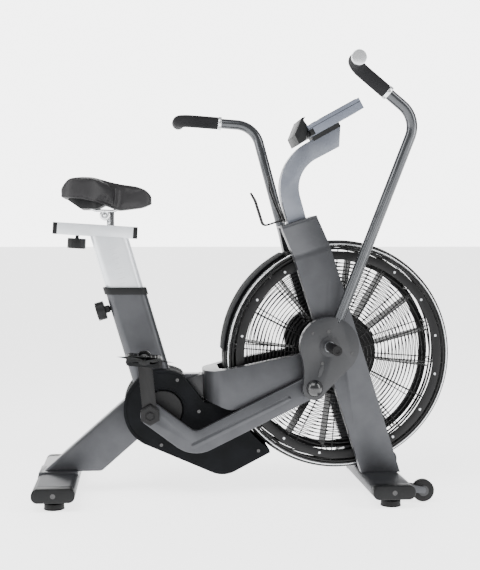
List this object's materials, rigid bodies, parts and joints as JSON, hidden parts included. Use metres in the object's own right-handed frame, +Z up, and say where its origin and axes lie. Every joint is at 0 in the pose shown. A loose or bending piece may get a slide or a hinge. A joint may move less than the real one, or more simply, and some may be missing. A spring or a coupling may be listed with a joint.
{
  "type": "air bike",
  "caption": "Fan-braked exercise bicycle: saddle and pedals drive a caged fan, while swinging push-pull handles are linked to the cranks for arm and leg training.",
  "frame": {"origin": "on the floor under the middle of the machine's length and width", "axes": "+X forward to the fan, +Y to the rider's left, +Z up"},
  "size_m": [1.225, 0.6182, 1.2617],
  "materials": {
    "frame_paint": "satin metallic",
    "mast_paint": "satin metallic",
    "handle_paint": "gloss metallic",
    "silver": "satin",
    "chrome": "polished",
    "steel": "machined",
    "black_steel": "satin",
    "black_plastic": "fine texture",
    "fan_plastic": "moulded",
    "console_plastic": "satin",
    "button_rubber": "soft",
    "foam": "foam",
    "saddle_vinyl": "soft vinyl",
    "rubber": "moulded"
  },
  "bodies": {
    "frame": {"beam_cover": "black_plastic", "bottle_cage": "black_steel", "bottom_bracket": "frame_paint", "casing_left": "black_plastic", "casing_right": "black_plastic", "casing_screws": "black_steel", "console_housing": "console_plastic", "drive_belts": "rubber", "fan_cage_left": "black_steel", "fan_cage_right": "black_steel", "fan_rim_rings": "black_steel", "fan_spindle": "steel", "foot_pegs": "black_steel", "fork": "frame_paint", "front_leg_left": "frame_paint", "front_leg_right": "frame_paint", "front_stabiliser": "frame_paint", "head_cap": "frame_paint", "levelling_feet": "rubber", "main_beam": "frame_paint", "mast": "mast_paint", "pivot_stubs": "steel", "rear_leg": "frame_paint", "rear_stabiliser": "frame_paint", "seat_tube": "frame_paint", "seat_tube_collar": "black_plastic", "stabiliser_caps": "black_plastic", "tablet_holder": "black_plastic", "wind_guard": "black_plastic"},
    "crank": {"crank_axle": "steel", "crank_pulley": "black_plastic", "crank_discs": "black_steel", "outer_cranks": "black_steel"},
    "pedal_right": {"pedal_right": "black_plastic"},
    "pedal_left": {"pedal_left": "black_plastic"},
    "link_right": {"link_rod_right": "frame_paint"},
    "link_left": {"link_rod_left": "frame_paint"},
    "handle_right": {"handle_right": "handle_paint", "grip_right": "foam", "handle_trim_right": "chrome", "lever_cover_right": "black_plastic"},
    "handle_left": {"handle_left": "handle_paint", "grip_left": "foam", "handle_trim_left": "chrome", "lever_cover_left": "black_plastic"},
    "fan": {"fan_wheel": "fan_plastic"},
    "jackshaft": {"jackshaft": "steel"},
    "seat_post": {"seat_post": "silver", "rail_end_caps": "black_plastic"},
    "carriage": {"saddle_stem": "chrome"},
    "saddle": {"saddle_cover": "saddle_vinyl", "saddle_base": "black_plastic", "saddle_rails": "black_steel"},
    "height_knob": {"height_knob": "black_plastic"},
    "slider_knob": {"slider_knob": "black_plastic"},
    "wheel_right": {"transport_wheel_right": "rubber"},
    "wheel_left": {"transport_wheel_left": "rubber"},
    "button_right": {"button_right": "button_rubber"},
    "button_middle": {"button_middle": "button_rubber"},
    "button_left": {"button_left": "button_rubber"}
  },
  "joints": [
    {"name": "crank_spin", "type": "hinge", "parent": "frame", "child": "crank", "pos_m": [-0.2465, 0, 0.254], "axis": [0, 1, 0], "continuous": true},
    {"name": "pedal_right_spin", "type": "hinge", "parent": "crank", "child": "pedal_right", "pos_m": [-0.30185, -0.215, 0.41474], "axis": [0, 1, 0], "continuous": true},
    {"name": "pedal_left_spin", "type": "hinge", "parent": "crank", "child": "pedal_left", "pos_m": [-0.19115, 0.215, 0.09326], "axis": [0, 1, 0], "continuous": true},
    {"name": "link_right_pivot", "type": "hinge", "parent": "crank", "child": "link_right", "pos_m": [-0.2855, -0.134, 0.254], "axis": [0, 1, 0], "continuous": true},
    {"name": "link_left_pivot", "type": "hinge", "parent": "crank", "child": "link_left", "pos_m": [-0.2075, 0.134, 0.254], "axis": [0, 1, 0], "continuous": true},
    {"name": "handle_right_swing", "type": "hinge", "parent": "frame", "child": "handle_right", "pos_m": [0.2255, -0.157, 0.443], "axis": [0, 1, 0], "range_deg": [-35, 0]},
    {"name": "handle_left_swing", "type": "hinge", "parent": "frame", "child": "handle_left", "pos_m": [0.2255, 0.157, 0.443], "axis": [0, 1, 0], "range_deg": [0, 35]},
    {"name": "fan_spin", "type": "hinge", "parent": "frame", "child": "fan", "pos_m": [0.2725, 0, 0.408], "axis": [0, 1, 0], "continuous": true},
    {"name": "jackshaft_spin", "type": "hinge", "parent": "frame", "child": "jackshaft", "pos_m": [-0.0725, 0, 0.14], "axis": [0, 1, 0], "continuous": true},
    {"name": "seat_height", "type": "slide", "parent": "frame", "child": "seat_post", "axis": [-0.284, 0, 0.9588], "range_m": [-0.1, 0.06]},
    {"name": "saddle_fore_aft", "type": "slide", "parent": "seat_post", "child": "carriage", "axis": [0.9981, 0, -0.0611], "range_m": [-0.04, 0.03]},
    {"name": "saddle_tilt", "type": "hinge", "parent": "carriage", "child": "saddle", "pos_m": [-0.41463, 0, 0.82069], "axis": [0, 1, 0], "range_deg": [-12, 12]},
    {"name": "height_knob_pull", "type": "slide", "parent": "frame", "child": "height_knob", "axis": [-0.9588, 0, -0.284], "range_m": [0, 0.012], "stiffness_N_per_m": 1500},
    {"name": "slider_knob_turn", "type": "hinge", "parent": "seat_post", "child": "slider_knob", "pos_m": [-0.49664, 0, 0.75262], "axis": [0.0611, 0, 0.9981], "range_deg": [-180, 180]},
    {"name": "wheel_right_spin", "type": "hinge", "parent": "frame", "child": "wheel_right", "pos_m": [0.4885, -0.215, 0.0345], "axis": [0, 1, 0], "continuous": true},
    {"name": "wheel_left_spin", "type": "hinge", "parent": "frame", "child": "wheel_left", "pos_m": [0.4885, 0.215, 0.0345], "axis": [0, 1, 0], "continuous": true},
    {"name": "button_right_press", "type": "slide", "parent": "frame", "child": "button_right", "axis": [0.4848, 0, -0.8746], "range_m": [0, 0.0015], "stiffness_N_per_m": 400},
    {"name": "button_middle_press", "type": "slide", "parent": "frame", "child": "button_middle", "axis": [0.4848, 0, -0.8746], "range_m": [0, 0.0015], "stiffness_N_per_m": 400},
    {"name": "button_left_press", "type": "slide", "parent": "frame", "child": "button_left", "axis": [0.4848, 0, -0.8746], "range_m": [0, 0.0015], "stiffness_N_per_m": 400}
  ],
  "couplings": [
    {"joint": "link_right_pivot", "follows": "crank_spin", "ratio": -1},
    {"joint": "link_left_pivot", "follows": "crank_spin", "ratio": -1},
    {"joint": "jackshaft_spin", "follows": "crank_spin", "ratio": 3.8},
    {"joint": "fan_spin", "follows": "crank_spin", "ratio": 7.6},
    {"joint": "handle_left_swing", "follows": "handle_right_swing", "ratio": -1}
  ]
}
